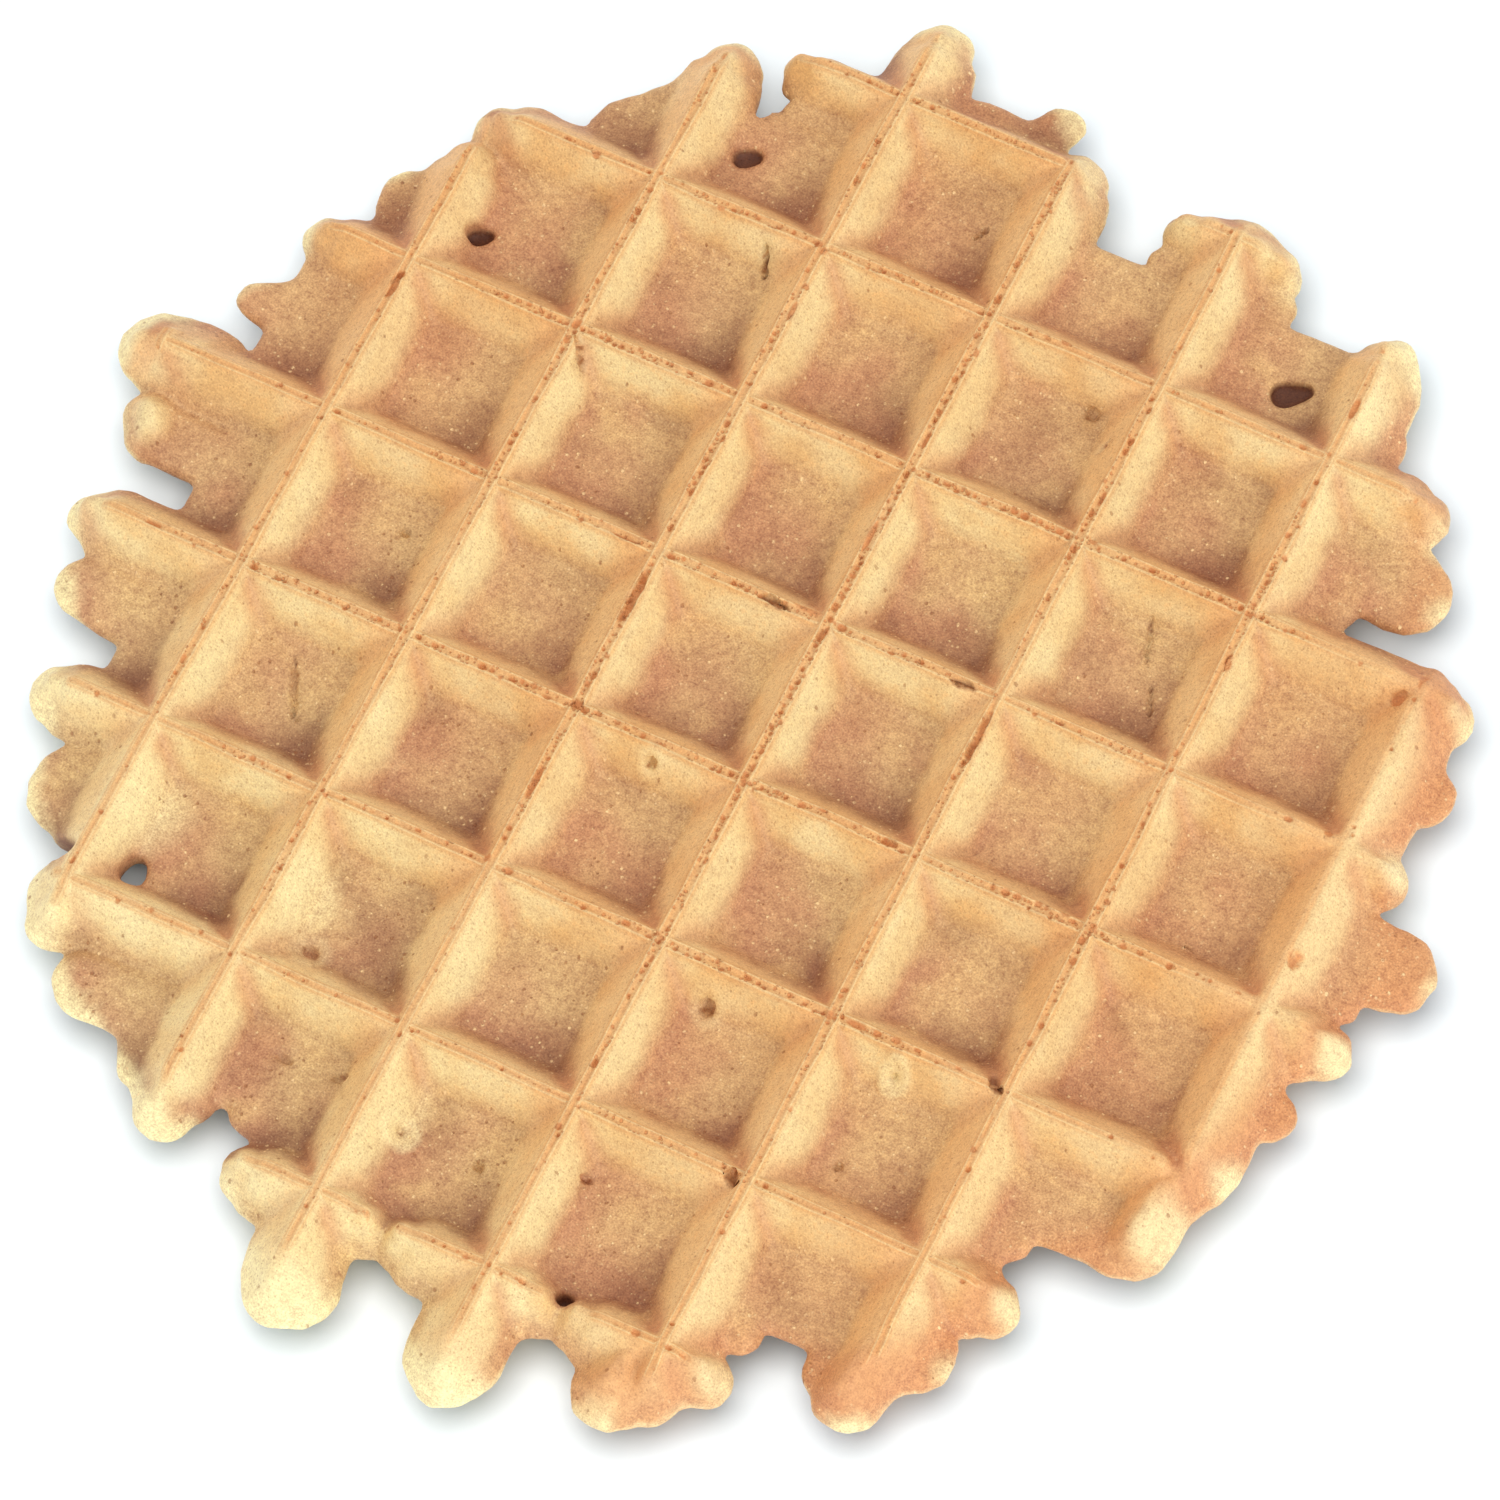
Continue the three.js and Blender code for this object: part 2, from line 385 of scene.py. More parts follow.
# Each pore: axis the ridge runs along, line, face, centre, half length, half width, across, depth
def crestPores(rng):
    pores = []
    tornGap, wholeGap = poreSetup["gap"]
    for face in (1, -1):
        for axis, runs in ((1, columnRuns), (0, rowRuns)):
            for line, start, end in runs:
                steps = np.arange(start, end + 1.0)
                spots = np.zeros((len(steps), 3))
                spots[:, axis] = steps
                spots[:, 1 - axis] = line * grid["pitch"]
                tears = tearAt(spots)
                along = start
                while along < end:
                    kind = rng.choice(3, p=[k[0] for k in poreSetup["kinds"]])
                    half = rng.uniform(*poreSetup["kinds"][kind][1:])
                    tear = np.interp(along, steps, tears)
                    along += half + rng.exponential(tornGap * tear + wholeGap * (1 - tear))
                    width = min(rng.uniform(*poreSetup["width"]), half)
                    pores.append((
                        axis, line * grid["pitch"], face, along, half, width,
                        rng.normal(0, poreSetup["stray"]), rng.uniform(*poreSetup["depth"]),
                    ))
                    along += half
    return pores


def poreField(points, pores):  # how deep each point lies in a pore, and how much of the pore's floor it is
    depth = np.zeros(len(points))
    inside = np.zeros(len(points))
    for axis in (0, 1):
        for face in (1, -1):
            onFace = (points[:, 2] - grid["middle"]) * face > poreSetup["from"]
            across = points[:, 1 - axis]
            rows = np.nonzero(onFace & (np.abs(offLine(across)) < poreSetup["reach"]))[0]
            rows = rows[np.argsort(points[rows, axis])]
            s = points[rows, axis]
            t = across[rows]
            for a, line, side, centre, half, width, shift, dip in pores:
                if a != axis or side != face:
                    continue
                i, j = np.searchsorted(s, (centre - half, centre + half))
                u = (s[i:j] - centre) / half
                v = (t[i:j] - line - shift) / width
                bowl = ramp(*poreSetup["bowl"], u * u + v * v)
                spot = rows[i:j]
                depth[spot] = np.maximum(depth[spot], dip * bowl)
                inside[spot] = np.maximum(inside[spot], bowl)
    return depth, inside


# Pits, slits and blisters of the upper face: place, half sizes and depth in mm, turn from +X in degrees
# A mark that isn't open is as light inside as a pore, an open one gets painted shade inside; a ring has its
# size and height, and may be pale
marks = [
    {"at": (-60.1, 36.2), "half": (2.1, 0.62), "turn": 89, "depth": 0.45, "open": False},
    {"at": (-20.1, 14.0), "half": (3.9, 0.68), "turn": 89, "depth": 0.5, "open": False},
    {"at": (0.1, 18.6), "half": (1.2, 0.5), "turn": 86, "depth": 0.5, "open": False},
    {"at": (20.1, 14.6), "half": (3.6, 0.6), "turn": 90, "depth": 0.5, "open": False},
    {"at": (-6.2, 19.8), "half": (1.9, 0.55), "turn": -4, "depth": 0.9},
    {"at": (16.0, 19.7), "half": (1.8, 0.55), "turn": -2, "depth": 0.6},
    {"at": (16.8, 0.0), "half": (1.1, 0.45), "turn": 0, "depth": 0.5, "open": False},
    {"at": (-20.0, 0.2), "half": (1.0, 0.6), "turn": 10, "depth": 0.5, "open": False},
    {"at": (40.3, 33.7), "half": (1.3, 0.5), "turn": 88, "depth": 0.5, "open": False},
    {"at": (58.0, 38.2), "half": (1.0, 0.8), "turn": 40, "depth": 0.6, "open": False},
    {"at": (60.8, 6.2), "half": (1.3, 0.9), "turn": 70, "depth": 0.7, "open": False},
    {"at": (18.3, -40.6), "half": (1.0, 0.9), "turn": 0, "depth": 1.8},
    {"at": (38.5, -19.6), "half": (1.6, 0.7), "turn": -42, "depth": 0.9},
    {"at": (-38.4, 37.7), "half": (1.8, 0.4), "turn": -52, "depth": 1.2},
    {"at": (6.8, -23.4), "half": (0.95, 0.8), "turn": 30, "depth": 1.6, "ring": (2.0, 0.2)},
    {"at": (-10.3, -1.8), "half": (0.6, 0.5), "turn": 10, "depth": 1.2, "ring": (1.4, 0.2)},
    {"at": (28.2, -22.5), "half": (0.4, 0.35), "turn": 0, "depth": 0.8, "ring": (1.7, 0.35), "pale": 0.6},
    {"at": (-25.8, 57.1), "half": (1.7, 0.3), "turn": -68, "depth": 1.2},
    {"at": (17.1, 52.4), "half": (0.9, 0.3), "turn": 75, "depth": 1.0},
    {"at": (13.9, 56.1), "half": (0.9, 0.7), "turn": 0, "depth": 0.9},
    {"at": (-6.3, 70.7), "half": (1.2, 0.25), "turn": 68, "depth": 0.9},
    {"at": (30.7, 34.6), "half": (3.0, 0.3), "turn": -72, "depth": 0.6},
    {"at": (33.9, 28.1), "half": (2.4, 0.28), "turn": -68, "depth": 0.6},
    {"at": (-49.4, -9.0), "half": (4.2, 0.4), "turn": -64, "depth": 0.8},
    {"at": (-47.0, 12.2), "half": (0.6, 0.5), "turn": 0, "depth": 1.0},
    {"at": (-33.9, -35.4), "half": (1.1, 0.7), "turn": -20, "depth": 0.9, "ring": (2.2, 0.25), "pale": 0.3},
    {"at": (-15.9, -49.4), "half": (0.5, 0.4), "turn": 0, "depth": 0.6, "ring": (2.0, 0.3), "pale": 0.6},
    {"at": (-30.9, -47.1), "half": (1.1, 0.6), "turn": 10, "depth": 0.8},
    {"at": (-7.0, -49.2), "half": (0.7, 0.6), "turn": 0, "depth": 1.0},
    {"at": (4.0, -45.9), "half": (0.7, 0.5), "turn": 0, "depth": 1.0},
    {"at": (26.8, -33.2), "half": (0.7, 0.5), "turn": 0, "depth": 0.8},
    {"at": (-24.6, -46.6), "half": (1.0, 0.5), "turn": 30, "depth": 0.7},
]


markSetup = {
    "above": 0.6,  # height over the web's middle where the upper face starts, mm
    "bend": (0.18, 2.3),  # how far a slit wanders, in half widths, and its turns in radians to the mm
    "bowl": (1.0, 0.4),  # rim and flat bottom of a mark
    "ring": (0.8, 0.3),  # top and width of a blister's ring, in ring sizes
    "ringFade": (1.2, 0.8),  # where its paleness ends and where it is full, in ring sizes
    "ringReach": 1.6,
    "spare": 0.5,  # mm round a mark
    "pale": 0.2,
}


# Push along the normal, and how much of an open mark, a shallow one or a ring each point is
def markField(points):
    push = np.zeros(len(points))
    rings = np.zeros(len(points))
    hollow = {True: np.zeros(len(points)), False: np.zeros(len(points))}
    upper = points[:, 2] > grid["middle"] + markSetup["above"]
    wander, waves = markSetup["bend"]
    top, width = markSetup["ring"]
    for mark in marks:
        x, y = mark["at"]
        long, short = mark["half"]
        ringSize, ringHeight = mark.get("ring", (0, 0))
        reach = max(long, ringSize * markSetup["ringReach"]) + markSetup["spare"]
        close = (np.abs(points[:, 0] - x) < reach) & (np.abs(points[:, 1] - y) < reach)
        near = np.nonzero(upper & close)[0]
        turn = math.radians(mark["turn"])
        dx = points[near, 0] - x
        dy = points[near, 1] - y
        u = dx * math.cos(turn) + dy * math.sin(turn)
        v = dy * math.cos(turn) - dx * math.sin(turn)
        bend = wander * short * np.sin(u * waves + x)
        bowl = ramp(*markSetup["bowl"], (u / long) ** 2 + ((v + bend) / short) ** 2)
        push[near] -= mark["depth"] * bowl
        kind = hollow[mark.get("open", True)]
        kind[near] = np.maximum(kind[near], bowl)
        if ringSize:
            away = np.hypot(dx, dy) / ringSize
            push[near] += ringHeight * np.exp(-((away - top) / width) ** 2)
            pale = mark.get("pale", markSetup["pale"]) * ramp(*markSetup["ringFade"], away)
            rings[near] = np.maximum(rings[near], pale)
    return push, hollow[True], hollow[False], rings


def pitCrust(mesh, pores):
    points = readPoints(mesh)
    normals = readNormals(mesh)
    depth = poreField(points, pores)[0]
    push = markField(points)[0]
    face = np.sign(points[:, 2] - grid["middle"])
    points += normals * push[:, None]
    points[:, 2] -= face * depth
    points[:, 2] = np.maximum(points[:, 2], 0)  # the lower crests lie on the table
    writePoints(mesh, points)


def thinCrust(piece):
    piece.data.calc_loop_triangles()
    share = crust["triangles"] / len(piece.data.loop_triangles)
    if share < 1:
        height = readPoints(piece.data)[:, 2]
        crest = height > crust["crestFrom"]
        under = height <= grid["middle"] - grid["web"] + crust["underSpare"]
        group = piece.vertex_groups.new(name="ease")
        for weight, zone in zip(crust["ease"], (crest, ~crest & ~under, under)):
            group.add(np.nonzero(zone)[0].tolist(), weight, "REPLACE")
        thin = piece.modifiers.new("thin", "DECIMATE")
        thin.ratio = share
        thin.vertex_group = "ease"
        thin.vertex_group_factor = crust["thinning"]
        thin.use_collapse_triangulate = True
        applyModifiers(piece)


def setMask(mesh, name, values):
    layer = mesh.attributes.new(name, "FLOAT", "POINT")
    layer.data.foreach_set("value", np.clip(values, 0, 1).astype(np.float32))


# Brown streak of painted shade down the corner where two walls meet, strongest in the corner that the ridges
# shade from the key light
foldSetup = {
    "corners": ((-1, 1, 0.7), (-1, -1, 0.5), (1, 1, 0.3), (1, -1, 1.2)),  # side in x and y, strength
    "ragged": (1.8, 0.35),  # size and swing of its edge, mm
    "width": (2.8, 0.2),  # mm from the corner, where it ends and where it is full
    "top": (0.98, 0.75),  # on the 0 to 1 height
}


def foldShadeMask(u, v, points, level):
    total = np.zeros(len(points))
    size, swing = foldSetup["ragged"]
    ragged = swing * cloud(points, size, crust["seed"] + 14)
    off = np.abs(np.abs(u) - np.abs(v)) * grid["pitch"] + ragged
    for sideX, sideY, strength in foldSetup["corners"]:
        inCorner = (u * sideX > 0) & (v * sideY > 0)
        total = np.maximum(total, inCorner * strength * ramp(*foldSetup["width"], off))
    return total * ramp(*foldSetup["top"], level)


# Deep burst bubbles of the rim: middle and reach, mm
pits = [(-55.6, 47.6, 2.2), (-33.5, 68.5, 2.6), (32.4, 67.7, 3.0), (7.7, -58.7, 1.8)]
# the dark inside the pits is painted shade
pitFade = (1.0, 0.1)  # height over the web's middle where the dark starts and where it is full, mm
pitEnd = -0.6  # and where it ends


# painted shade inside the pits
def pitMask(points):  # the dark inside of the pits
    x, y, z = points.T
    total = np.zeros(len(points))
    for pitX, pitY, reach in pits:
        total = np.maximum(total, np.hypot(x - pitX, y - pitY) < reach)
    rise = z - grid["middle"]
    return total * ramp(*pitFade, rise) * (rise > pitEnd)


# Pale floury patches, of the lower left and then of the rim's tips: middle, reach in mm, strength
flour = [
    (-57.0, -28.5, 5.0, 0.7), (-37.0, -29.5, 4.5, 0.6), (-61.0, -43.0, 5.5, 0.6), (-16.5, -47.0, 4.0, 0.4),
    (60.5, -26.5, 5.0, 0.7), (50.0, -40.0, 2.6, 0.8), (47.0, -48.5, 2.6, 0.7), (26.0, -59.5, 3.0, 0.6),
    (55.5, 58.0, 3.2, 0.8), (58.0, 51.0, 2.6, 0.7), (-2.5, 87.0, 2.6, 0.6), (1.5, 82.0, 2.6, 0.5),
    (27.5, 79.5, 2.8, 0.5), (42.0, 76.5, 3.5, 0.6), (66.5, 39.6, 3.2, 0.9), (65.5, 20.8, 3.0, 0.8),
    (69.5, -0.5, 3.0, 0.8), (64.5, -18.0, 3.2, 0.8),
]
flourFade = (1.2, 0.3)  # in reaches, where a patch ends and where it is full
flourRagged = 0.4


def flourMask(points, patch):
    total = np.zeros(len(points))
    for x, y, reach, strength in flour:
        away = np.hypot(points[:, 0] - x, points[:, 1] - y) / reach
        total = np.maximum(total, strength * ramp(*flourFade, away + flourRagged * patch))
    return total


# Where the waffle is baked differently: direction across it, then start and end of the change, mm
regions = {
    "right": ((1.0, -0.3), (5, 60)),
    "topLeft": ((-0.6, 0.8), (25, 75)),
    "lowLeft": ((-0.6, -0.8), (20, 75)),
    "pitted": ((-0.7, -0.5), (-30, 50)),
    "creamy": ((-1.0, -0.6), (0, 60)),
}

# Noise that breaks up the baking: size in mm and swing
baking = {
    "patches": ((4.5, 0.7), (2.0, 0.4)),
    "floorEdge": (2.2, 0.08),
    "tan": (4.0, 0.6),
    "cornerBrownAndShade": (3.5, 0.14),
    "warm": (18.0, 0.5),
    "pitted": (7.0, 1.0),
}

# Cream of the rim's tips, on the rim map: where it starts, what shifts that, and how softly it comes
tips = {"start": 0.46, "right": 0.12, "topLeft": 0.06, "creamy": -0.14, "patch": 0.12, "softness": 0.18}


def regionAt(points, name):
    (towardX, towardY), fade = regions[name]
    return ramp(*fade, towardX * points[:, 0] + towardY * points[:, 1])


def bakingAt(points, name, seed):
    size, swing = baking[name]
    return swing * cloud(points, size, crust["seed"] + seed)


def paintPockets(mesh, points, rim):  # u and v are the place in the pocket, from -0.5 to 0.5
    level = levels(points)
    right, topLeft, lowLeft = (regionAt(points, n) for n in ("right", "topLeft", "lowLeft"))
    u, v = (np.mod(points[:, a], grid["pitch"]) / grid["pitch"] - 0.5 for a in (0, 1))

    # The floor's brown climbs less on the +x wall, more on the -y wall and most in the corner between; on
    # that wall and in that corner it is partly painted shade
    corner = ramp(0.05, 0.35, u) * ramp(0.05, -0.35, v)
    reach = 0.5 - 0.3 * ramp(0.15, 0.3, u) + 0.35 * ramp(0.15, 0.45, -v) + 0.6 * corner
    floor = 1 - ramp(0.0, 1.0, (level + bakingAt(points, "floorEdge", 10)) / reach)
    setMask(mesh, "floor", floor * (1 - 0.4 * ramp(0.3, 0.6, rim)))
    setMask(mesh, "tan", 0.55 + 1.3 * (u + v) + bakingAt(points, "tan", 11))
    # painted shade with some deeper browning: the floor darkens toward the corner that the ridges shade from
    # the key light
    setMask(mesh, "cornerBrownAndShade", ramp(0.05, 0.65, u - v + bakingAt(points, "cornerBrownAndShade", 12)) * floor)
    # the walls the key light does not reach, which get a painted warm glow
    shady = np.maximum(ramp(0.2, 0.36, u), ramp(0.2, 0.36, -v))
    setMask(mesh, "shady", shady * (1 - 0.6 * lowLeft))
    # painted light: the wall that faces the key light is paler; the lower left is paler too
    litAndPale = ramp(0.18, 0.34, -u) * (0.7 + 0.5 * lowLeft) * (1 - 0.9 * right * ramp(0.12, 0.3, rim))
    setMask(mesh, "litAndPale", np.maximum(litAndPale, 0.5 * lowLeft))
    # painted shade down the corners between walls
    setMask(mesh, "creaseShade", foldShadeMask(u, v, points, level))
    warm = 0.3 + 0.7 * right + 0.4 * topLeft - 0.6 * lowLeft + bakingAt(points, "warm", 13)
    setMask(mesh, "warm", warm + 0.6 * right * ramp(0.25, 0.45, rim))
    pitted = ramp(-0.1, 0.5, bakingAt(points, "pitted", 17) + 0.4 * (u + v))
    setMask(mesh, "pitted", pitted * regionAt(points, "pitted") * ramp(0.4, 0.15, level))


def paintRim(mesh, points, rim, patch, rings):
    right, topLeft, creamy = (regionAt(points, n) for n in ("right", "topLeft", "creamy"))
    setMask(mesh, "toast", right * ramp(0.12, 0.35, rim))
    tip = tips["start"] + tips["right"] * right + tips["topLeft"] * topLeft + tips["creamy"] * creamy
    cream = ramp(tip, tip + tips["softness"], rim + tips["patch"] * patch)
    steep = ramp(0.5, 0.15, np.abs(readNormals(mesh)[:, 2]))
    side = steep * ramp(0.3, 0.42, rim) * (1 - 0.6 * right)  # the rim's outer edge
    pale = np.maximum(rings, flourMask(points, patch))
    setMask(mesh, "cream", np.maximum(np.maximum(cream, 0.8 * side), pale))
    # painted shade inside the pits
    setMask(mesh, "pit", pitMask(points))


def paintMasks(mesh, table, pores):
    points = readPoints(mesh)
    rim = rimAt(points, table)
    hollow, shallow, rings = markField(points)[1:]
    patch = np.zeros(len(points))
    for k, (size, swing) in enumerate(baking["patches"]):
        patch += swing * cloud(points, size, crust["seed"] + 15 + k)
    setMask(mesh, "patch", 0.5 + 0.5 * patch)
    paintPockets(mesh, points, rim)
    paintRim(mesh, points, rim, patch, rings)
    across, half, _ = crestShape(points)
    setMask(mesh, "across", 0.5 * across / half)  # 0.5 at a crest's edge
    setMask(mesh, "tear", tearAt(points))
    setMask(mesh, "inner", crispShare(points, table))
    setMask(mesh, "pore", np.maximum(poreField(points, pores)[1], shallow))
    # where the open marks get painted shade inside
    setMask(mesh, "hollow", hollow)


def buildCrust():
    piece = evenCrust(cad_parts["waffle"])
    print("crust evened:", len(piece.data.vertices), "points")
    table = softenCrust(piece.data)
    undulate(piece.data, table)
    refineCrests(piece.data)
    crispCrests(piece.data, table)
    print("crust softened:", len(piece.data.vertices), "points")
    pores = crestPores(np.random.default_rng(crust["seed"]))
    pitCrust(piece.data, pores)
    thinCrust(piece)
    paintMasks(piece.data, table, pores)
    piece.data.transform(toGrid().inverted())
    for face in piece.data.polygons:
        face.use_smooth = True
    print("crust pitted:", len(piece.data.polygons), "faces,", len(pores), "pores")
    return piece


waffle = buildCrust()


# Materials
def tone(red, green, blue):  # a colour as a picture shows it, turned to light
    values = [c / 255 for c in (red, green, blue)]
    return tuple(c / 12.92 if c <= 0.04045 else ((c + 0.055) / 1.055) ** 2.4 for c in values) + (1.0,)


class Tree:
    def __init__(self, material):
        material.use_nodes = True
        self.nodes = material.node_tree.nodes
        self.links = material.node_tree.links
        self.nodes.clear()

    def put(self, target, value):
        if isinstance(value, bpy.types.NodeSocket):
            self.links.new(value, target)
        else:
            target.default_value = value

    def add(self, kind, inputs=None, **settings):
        node = self.nodes.new(kind)
        for name, value in settings.items():
            setattr(node, name, value)
        for name, value in (inputs or {}).items():
            self.put(node.inputs[name], value)
        return node

    def math(self, operation, *values):
        node = self.add("ShaderNodeMath", operation=operation)
        for socket, value in zip(node.inputs, values):
            self.put(socket, value)
        return node.outputs[0]

    def span(self, value, low, high, start=0.0, end=1.0):
        node = self.add("ShaderNodeMapRange", {
            "Value": value, "From Min": low, "From Max": high, "To Min": start, "To Max": end,
        }, interpolation_type="SMOOTHSTEP")
        return node.outputs["Result"]

    def mix(self, share, a, b, blend="MIX"):
        node = self.add("ShaderNodeMix", data_type="RGBA", blend_type=blend, clamp_factor=True)
        self.put(node.inputs[0], share)
        self.put(node.inputs[6], a)
        self.put(node.inputs[7], b)
        return node.outputs[2]

    def tint(self, mask, share, colour, toward):  # turns the colour where the mask is, by at most share
        return self.mix(self.math("MULTIPLY", mask, share), colour, toward)

    def both(self, a, b):  # only where both masks are
        return self.math("MULTIPLY", a, b)

    def noise(self, place, size, detail, rough):
        return self.add("ShaderNodeTexNoise", {
            "Vector": place, "Scale": 1 / size, "Detail": detail, "Roughness": rough,
        }).outputs

    def mask(self, name):
        return self.add("ShaderNodeAttribute", attribute_name=name).outputs["Fac"]


crustLook = {
    "pale": tone(242, 222, 166),
    "gold": tone(232, 194, 132),
    "amber": tone(222, 160, 97),
    "floorPink": tone(197, 143, 104),
    "floorTan": tone(215, 178, 125),
    # dark brown of the floors' browner patches, and also their painted shade in the shaded corner
    "floorBrownAndShade": tone(128, 74, 50),
    "floorWarm": tone(214, 146, 96),
    # painted light: the warm glow of light soaking through the ridges into their shaded walls
    "paintedGlow": tone(244, 190, 130),  # light that soaks through the ridges into their shaded walls
    # painted shade down the corners between walls
    "foldShade": tone(206, 132, 86),
    "pore": tone(212, 136, 78),
    # painted shade inside the open marks, pepper and pinholes
    "hollow": tone(150, 88, 46),
    # painted shade inside the pits
    "pit": tone(104, 58, 36),
    "cream": tone(246, 228, 172),
    "speck": tone(246, 208, 154),
    "roughness": 0.62,
    "mottle": 0.9,  # size of the mottling, mm
    "sand": 0.22,  # size of the grain, mm
    "spots": 1.9,  # cells to the mm, each with one speck, crumb or hole at most
    "ragged": 0.16,  # how far the grain frays them, mm
    "contrast": (0.8, 1.3),  # of the grain, on walls and on floors
    "relief": {"grain": 0.06, "mottle": 0.07, "speck": 0.12, "pore": -0.14},
    "bump": {"Strength": 0.8, "Distance": 0.001},
}

# How strongly each mask turns the colour
crustShare = {
    "warm": 0.56, "shady": 0.45, "litAndPale": 0.65, "creaseShade": 0.8, "cornerBrownAndShade": 0.9, "floorWarm": 0.3, "toast": 0.75,
    "edge": 0.62, "lip": 0.32, "pore": 0.8, "hollow": 0.8,
}


def crustMaterial():
    material = bpy.data.materials.new("waffle_crust")
    tree = Tree(material)
    x, y = grid["offset"]
    toMm = (grid["scale"],) * 3
    place = tree.add("ShaderNodeMapping", {"Location": (-x, -y, 0), "Scale": toMm})  # mm on the grid
    tree.put(place.inputs["Vector"], tree.add("ShaderNodeTexCoord").outputs["Object"])
    place = place.outputs["Vector"]
    floor, pore, hollow, pit = (tree.mask(n) for n in ("floor", "pore", "hollow", "pit"))
    tan, cornerBrownAndShade, creaseShade, warm = (tree.mask(n) for n in ("tan", "cornerBrownAndShade", "creaseShade", "warm"))
    patch, cream, tear, inner, shady = (tree.mask(n) for n in ("patch", "cream", "tear", "inner", "shady"))
    litAndPale, across, pitted, toast = (tree.mask(n) for n in ("litAndPale", "across", "pitted", "toast"))

    mottle = tree.noise(place, crustLook["mottle"], 2, 0.6)["Fac"]
    sand = tree.noise(place, crustLook["sand"], 1, 0.6)

    # Walls and floors
    wall = tree.mix(tree.span(patch, 0.25, 0.8), crustLook["pale"], crustLook["gold"])
    wall = tree.mix(tree.span(mottle, 0.5, 0.75, 0, 0.35), wall, crustLook["amber"])
    wall = tree.tint(warm, crustShare["warm"], wall, crustLook["amber"])
    # painted light: a warm glow on the shaded walls
    wall = tree.tint(shady, crustShare["shady"], wall, crustLook["paintedGlow"])
    # painted light on the wall facing the key light, with the lower left's own paleness
    wall = tree.tint(litAndPale, crustShare["litAndPale"], wall, crustLook["pale"])
    # painted shade down the corners between walls
    wall = tree.tint(creaseShade, crustShare["creaseShade"], wall, crustLook["foldShade"])
    base = tree.mix(tan, crustLook["floorPink"], crustLook["floorTan"])
    # painted shade with deeper browning in the floor's shaded corner
    base = tree.tint(cornerBrownAndShade, crustShare["cornerBrownAndShade"], base, crustLook["floorBrownAndShade"])
    base = tree.mix(tree.span(patch, 0.5, 0.95, 0, 0.35), base, crustLook["floorBrownAndShade"])
    base = tree.mix(tree.span(patch, 0.5, 0.1, 0, 0.5), base, crustLook["gold"])
    base = tree.tint(warm, crustShare["floorWarm"], base, crustLook["floorWarm"])
    colour = tree.mix(floor, wall, base)
    colour = tree.tint(toast, crustShare["toast"], colour, crustLook["floorWarm"])
    colour = tree.mix(cream, colour, crustLook["cream"])

    # Specks, crumbs, pepper and pinholes, all from one set of spots; the dark of pepper and pinholes is
    # painted shade in tiny holes
    fray = (crustLook["ragged"],) * 3
    ragged = tree.add("ShaderNodeVectorMath", operation="MULTIPLY_ADD")
    for socket, value in zip(ragged.inputs, (sand["Color"], fray, place)):
        tree.put(socket, value)
    spots = tree.add("ShaderNodeTexVoronoi", {
        "Vector": ragged.outputs["Vector"], "Randomness": 1.0, "Scale": crustLook["spots"],
    }, voronoi_dimensions="2D").outputs
    pick = tree.add("ShaderNodeSeparateColor", {"Color": spots["Color"]}).outputs
    disc = tree.span(tree.math("MULTIPLY_ADD", pick["Blue"], -0.3, spots["Distance"]), 0.24, -0.04)
    tiny = tree.span(spots["Distance"], 0.22, 0.08)
    speck = tree.both(disc, tree.span(pick["Red"], 0.8, 0.95))
    speck = tree.both(speck, tree.span(mottle, 0.42, 0.58))  # in loose clusters
    speck = tree.both(speck, tree.span(floor, 0, 1, 0.1, 0.85))
    colour = tree.mix(speck, colour, crustLook["speck"])
    crumb = tree.both(tiny, tree.span(pick["Green"], 0.6, 0.7, 0, 0.3))
    colour = tree.mix(tree.both(crumb, floor), colour, crustLook["speck"])
    pepper = tree.both(tiny, tree.span(pick["Red"], 0.4, 0.5, 0, 0.35))
    pepper = tree.both(pepper, tree.span(floor, 0.6, 0.0))
    colour = tree.mix(pepper, colour, crustLook["hollow"])
    chance = tree.math("MULTIPLY_ADD", pitted, -0.08, pick["Red"])
    pinhole = tree.both(disc, tree.span(chance, 0.014, 0.0, 0, 0.6))
    colour = tree.mix(pinhole, colour, crustLook["hollow"])

    # The torn strip along each crest: pale lips, orange pores between them
    height = tree.add("ShaderNodeSeparateXYZ", {"Vector": place}).outputs["Z"]
    rise = tree.math("ABSOLUTE", tree.math("SUBTRACT", height, grid["middle"]))
    high = tree.both(tree.span(rise, 5.3, 5.8), inner)
    edge = tree.both(tree.span(across, 1.0, 0.5), high)
    colour = tree.tint(edge, crustShare["edge"], colour, crustLook["amber"])
    lip = tree.both(tree.span(across, 0.32, 0.42), tree.span(across, 0.6, 0.5))
    colour = tree.tint(tree.both(lip, high), crustShare["lip"], colour, crustLook["cream"])
    line = tree.both(tree.span(across, 0.2, 0.05), tree.span(mottle, 0.4, 0.6, 0.05, 0.5))
    line = tree.both(line, tree.span(tear, 0.8, 0.1))
    torn = tree.span(tree.math("MULTIPLY_ADD", tear, -0.52, pick["Green"]), 0.1, 0.04)
    torn = tree.both(tree.both(disc, torn), tree.span(across, 0.5, 0.4))
    torn = tree.both(tree.math("MAXIMUM", line, torn), high)
    pore = tree.math("MAXIMUM", pore, torn)
    colour = tree.tint(pore, crustShare["pore"], colour, crustLook["pore"])
    # painted shade inside the open marks
    colour = tree.tint(hollow, crustShare["hollow"], colour, crustLook["hollow"])
    # painted shade inside the pits
    colour = tree.mix(pit, colour, crustLook["pit"])

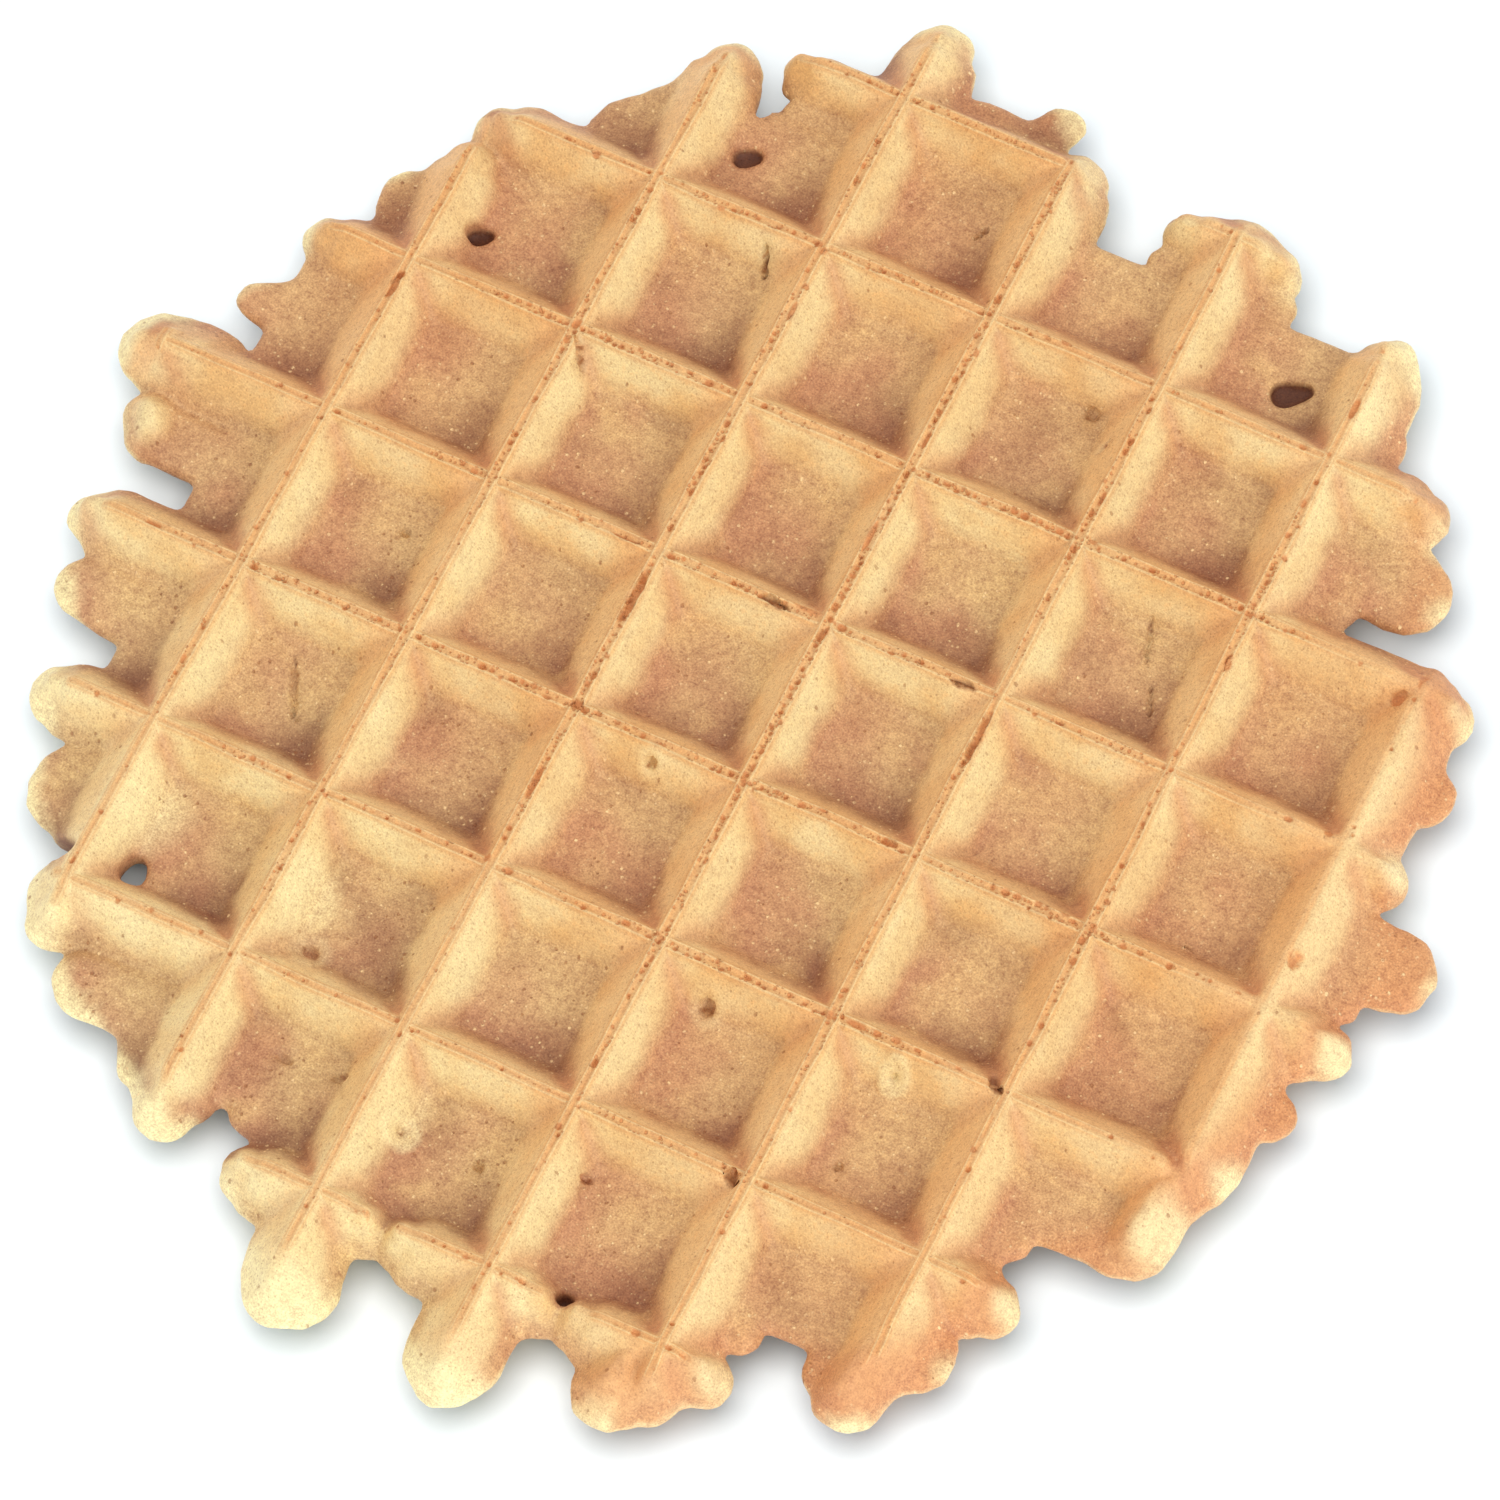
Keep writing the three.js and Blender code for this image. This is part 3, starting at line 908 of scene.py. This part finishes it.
    # Grain, stronger on the floors; dark grains keep more of their red
    contrast = tree.span(floor, 0, 1, *crustLook["contrast"])
    sandy = tree.math("MULTIPLY_ADD", mottle, 0.7, sand["Fac"])
    shade = tree.math("MULTIPLY_ADD", tree.math("SUBTRACT", sandy, 0.85), contrast, 1.0)
    ruddy = tree.math("MULTIPLY_ADD", shade, 0.75, 0.25)
    grains = tree.add("ShaderNodeCombineColor", {"Red": ruddy, "Green": shade, "Blue": shade})
    colour = tree.mix(1.0, colour, grains.outputs["Color"], "MULTIPLY")

    heights = crustLook["relief"]
    relief = tree.math("MULTIPLY", mottle, heights["mottle"])
    relief = tree.math("MULTIPLY_ADD", sand["Fac"], heights["grain"], relief)
    relief = tree.math("MULTIPLY_ADD", speck, heights["speck"], relief)
    relief = tree.math("MULTIPLY_ADD", tree.math("MAXIMUM", torn, pinhole), heights["pore"], relief)
    bump = tree.add("ShaderNodeBump", {**crustLook["bump"], "Height": relief})
    shader = tree.add("ShaderNodeBsdfPrincipled", {
        "Base Color": colour, "Roughness": crustLook["roughness"], "Normal": bump.outputs["Normal"],
    })
    output = tree.add("ShaderNodeOutputMaterial")
    tree.links.new(shader.outputs["BSDF"], output.inputs["Surface"])
    return material


def floorMaterial():
    material = bpy.data.materials.new("stage_floor")
    tree = Tree(material)
    place = tree.add("ShaderNodeTexCoord").outputs["Object"]
    away = tree.add("ShaderNodeVectorMath", {"Vector": place}, operation="LENGTH").outputs["Value"]
    # painted light: paler away from the waffle, where the ground light fades, so the floor looks evenly lit
    colour = tree.mix(tree.span(away, *studio["floorFade"]), studio["floorNear"], studio["floorFar"])
    shader = tree.add("ShaderNodeBsdfPrincipled", {
        "Base Color": colour, "Roughness": studio["floorRoughness"],
    })
    output = tree.add("ShaderNodeOutputMaterial")
    tree.links.new(shader.outputs["BSDF"], output.inputs["Surface"])
    return material


waffle.data.materials.clear()
waffle.data.materials.append(crustMaterial())
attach(waffle, "root")
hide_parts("waffle")
print("crust material set")


# Stage and lights
studio = {
    "floorSize": 6.0,
    # Painted light: the floor is darker near the waffle, where the ground light is strong, and paler farther
    # out
    "floorNear": (0.53, 0.636, 0.735, 1.0),  # evens out the warm light round the waffle
    "floorFar": (0.9, 0.94, 0.97, 1.0),
    "floorFade": (0.14, 0.45),  # m from the middle
    "floorRoughness": 0.9,
    "sky": 0.96,
    "skyTint": (1.0, 0.96, 0.93, 1.0),
    "key": {
        "azimuth": 56, "elevation": 33, "distance": 1.4,
        "size": 0.5, "power": 6.5, "tint": (0.92, 1.0, 1.0),
    },
    "ground": {
        "azimuth": 12, "elevation": 80, "distance": 0.5,
        "size": 0.36, "power": 3.6, "tint": (1.0, 0.84, 0.71),
    },
}


def makeFloor():
    half = studio["floorSize"] / 2
    mesh = bpy.data.meshes.new("stage_floor")
    corners = [(-half, -half, 0), (half, -half, 0), (half, half, 0), (-half, half, 0)]
    mesh.from_pydata(corners, [], [(0, 1, 2, 3)])
    floor = bpy.data.objects.new("stage_floor", mesh)
    mesh.materials.append(floorMaterial())
    scene.collection.objects.link(floor)
    return floor


def makeLight(name, receiver):
    setup = studio[name]
    az, el = math.radians(setup["azimuth"]), math.radians(setup["elevation"])
    toward = Vector((math.sin(az) * math.cos(el), -math.cos(az) * math.cos(el), math.sin(el)))
    data = bpy.data.lights.new(name + "_light", "AREA")
    data.size = setup["size"]
    data.energy = setup["power"]
    data.color = setup["tint"]
    lamp = bpy.data.objects.new(name + "_light", data)
    lamp.location = toward * setup["distance"]
    lamp.rotation_euler = toward.to_track_quat("Z", "Y").to_euler()
    scene.collection.objects.link(lamp)
    lit = bpy.data.collections.new(name + "_receiver")
    lit.objects.link(receiver)
    lamp.light_linking.receiver_collection = lit


def makeSky():
    sky = bpy.data.worlds.new("studio_sky")
    sky.use_nodes = True
    back = sky.node_tree.nodes["Background"]
    back.inputs["Color"].default_value = studio["skyTint"]
    back.inputs["Strength"].default_value = studio["sky"]
    scene.world = sky


stageFloor = makeFloor()
makeLight("key", waffle)  # models the pockets
makeLight("ground", stageFloor)  # gives the floor its soft shadow
makeSky()
scene.view_settings.view_transform = "Standard"
print("stage lit")
